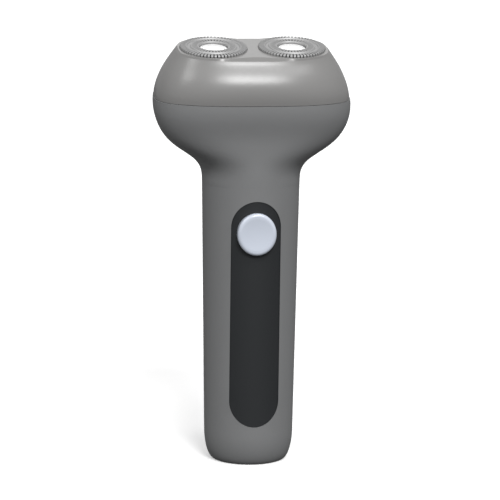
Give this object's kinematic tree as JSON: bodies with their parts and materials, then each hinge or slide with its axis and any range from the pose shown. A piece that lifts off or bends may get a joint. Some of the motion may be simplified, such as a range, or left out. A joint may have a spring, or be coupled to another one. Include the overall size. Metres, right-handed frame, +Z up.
{
  "type": "rotary electric shaver",
  "caption": "Upright rotary shaver: round handle with a long dark grip panel and oval button, flared head tilted forward with a lift-off cover and floating round guards over spinning cutters.",
  "frame": {"origin": "centre of the flat base, on the handle's axis", "axes": "+Z up along the handle, +X to the right of someone facing the button, front (button side) towards -Y"},
  "size_m": [0.0686, 0.0384, 0.1481],
  "materials": {
    "body_plastic": "fine satin-matt moulded grey",
    "cover_plastic": "satin grey lacquer",
    "panel_plastic": "matt charcoal",
    "button_plastic": "pearl blue-white",
    "guard_steel": "satin shaving steel",
    "bright_cap": "polished",
    "blade_steel": "ground",
    "plain_steel": "zinc plated",
    "white_plastic": "acetal, natural",
    "black_plastic": "glass-filled, matt",
    "lock_plastic": "moulded orange",
    "board": "green solder mask",
    "seal_rubber": "soft black",
    "boot_rubber": "translucent silicone",
    "cell_sleeve": "shrink sleeve",
    "brass": "plain",
    "wire": "insulated wire"
  },
  "bodies": {
    "root": {"body_shell": "body_plastic", "grip_panel": "panel_plastic", "switch_body": "black_plastic", "circuit_board": "board", "board_components": "black_plastic", "charging_socket": "plain_steel", "inner_chassis": "white_plastic", "board_screws": "plain_steel", "battery_cell": "cell_sleeve", "battery_tabs": "plain_steel", "gear_axles": "plain_steel", "gear_base": "black_plastic", "gearbox_screws": "plain_steel", "motor_can": "plain_steel", "motor_magnets": "black_plastic", "motor_endcap": "black_plastic", "motor_screws": "plain_steel", "motor_leads": "wire", "drive_deck": "black_plastic", "deck_seal": "seal_rubber", "spindle_seals": "seal_rubber", "hold_magnets": "plain_steel", "deck_screws": "plain_steel", "button_boot": "boot_rubber"},
    "button": {"power_button": "button_plastic"},
    "plunger": {"switch_plunger": "white_plastic"},
    "rotor": {"motor_rotor": "plain_steel", "drive_pinion": "brass"},
    "gear_left": {"drive_gear_left": "white_plastic", "spindle_spring_left": "plain_steel"},
    "gear_right": {"drive_gear_right": "white_plastic", "spindle_spring_right": "plain_steel"},
    "spindle_left": {"spindle_left": "black_plastic"},
    "spindle_right": {"spindle_right": "black_plastic"},
    "cover": {"head_cover": "cover_plastic", "keeper_plates": "plain_steel", "retaining_frame": "black_plastic"},
    "lock": {"lock_wheel": "lock_plastic"},
    "guard_left": {"guard_left": "guard_steel", "guard_cap_left": "bright_cap"},
    "guard_right": {"guard_right": "guard_steel", "guard_cap_right": "bright_cap"},
    "cutter_left": {"cutter_left": "blade_steel", "cutter_hub_left": "white_plastic"},
    "cutter_right": {"cutter_right": "blade_steel", "cutter_hub_right": "white_plastic"}
  },
  "joints": [
    {"name": "button_press", "type": "slide", "parent": "root", "child": "button", "axis": [0, 1, 0], "range_m": [0, 0.0008], "deforming": ["button_boot"]},
    {"name": "plunger_press", "type": "slide", "parent": "root", "child": "plunger", "axis": [0, 1, 0], "range_m": [0, 0.0008]},
    {"name": "motor_spin", "type": "hinge", "parent": "root", "child": "rotor", "pos_m": [0, 0.0027, 0.11058], "axis": [0, -0.2079, 0.9781], "continuous": true},
    {"name": "cover_lift", "type": "slide", "parent": "root", "child": "cover", "axis": [0, -0.2079, 0.9781], "range_m": [0, 0.022]},
    {"name": "lock_turn", "type": "hinge", "parent": "cover", "child": "lock", "pos_m": [0, 0.00001, 0.13864], "axis": [0, -0.2079, 0.9781], "range_deg": [0, 90]},
    {"name": "gear_left_spin", "type": "hinge", "parent": "root", "child": "gear_left", "pos_m": [-0.01363, 0.00271, 0.12592], "axis": [0, -0.2079, 0.9781], "continuous": true},
    {"name": "guard_left_float", "type": "slide", "parent": "cover", "child": "guard_left", "axis": [0, 0.2079, -0.9781], "range_m": [0, 0.0012]},
    {"name": "cutter_left_spin", "type": "hinge", "parent": "guard_left", "child": "cutter_left", "pos_m": [-0.01363, -0.00099, 0.14333], "axis": [0, -0.2079, 0.9781], "continuous": true},
    {"name": "spindle_left_slide", "type": "slide", "parent": "gear_left", "child": "spindle_left", "axis": [0, 0.2079, -0.9781], "range_m": [0, 0.0012], "deforming": ["spindle_spring_left"]},
    {"name": "gear_right_spin", "type": "hinge", "parent": "root", "child": "gear_right", "pos_m": [0.01363, 0.00271, 0.12592], "axis": [0, -0.2079, 0.9781], "continuous": true},
    {"name": "guard_right_float", "type": "slide", "parent": "cover", "child": "guard_right", "axis": [0, 0.2079, -0.9781], "range_m": [0, 0.0012]},
    {"name": "cutter_right_spin", "type": "hinge", "parent": "guard_right", "child": "cutter_right", "pos_m": [0.01363, -0.00099, 0.14333], "axis": [0, -0.2079, 0.9781], "continuous": true},
    {"name": "spindle_right_slide", "type": "slide", "parent": "gear_right", "child": "spindle_right", "axis": [0, 0.2079, -0.9781], "range_m": [0, 0.0012], "deforming": ["spindle_spring_right"]}
  ],
  "couplings": [
    {"joint": "plunger_press", "follows": "button_press", "ratio": 1},
    {"joint": "gear_left_spin", "follows": "motor_spin", "ratio": -0.33333},
    {"joint": "cutter_left_spin", "follows": "motor_spin", "ratio": -0.33333},
    {"joint": "spindle_left_slide", "follows": "guard_left_float", "ratio": 1},
    {"joint": "gear_right_spin", "follows": "motor_spin", "ratio": -0.33333},
    {"joint": "cutter_right_spin", "follows": "motor_spin", "ratio": -0.33333},
    {"joint": "spindle_right_slide", "follows": "guard_right_float", "ratio": 1}
  ]
}
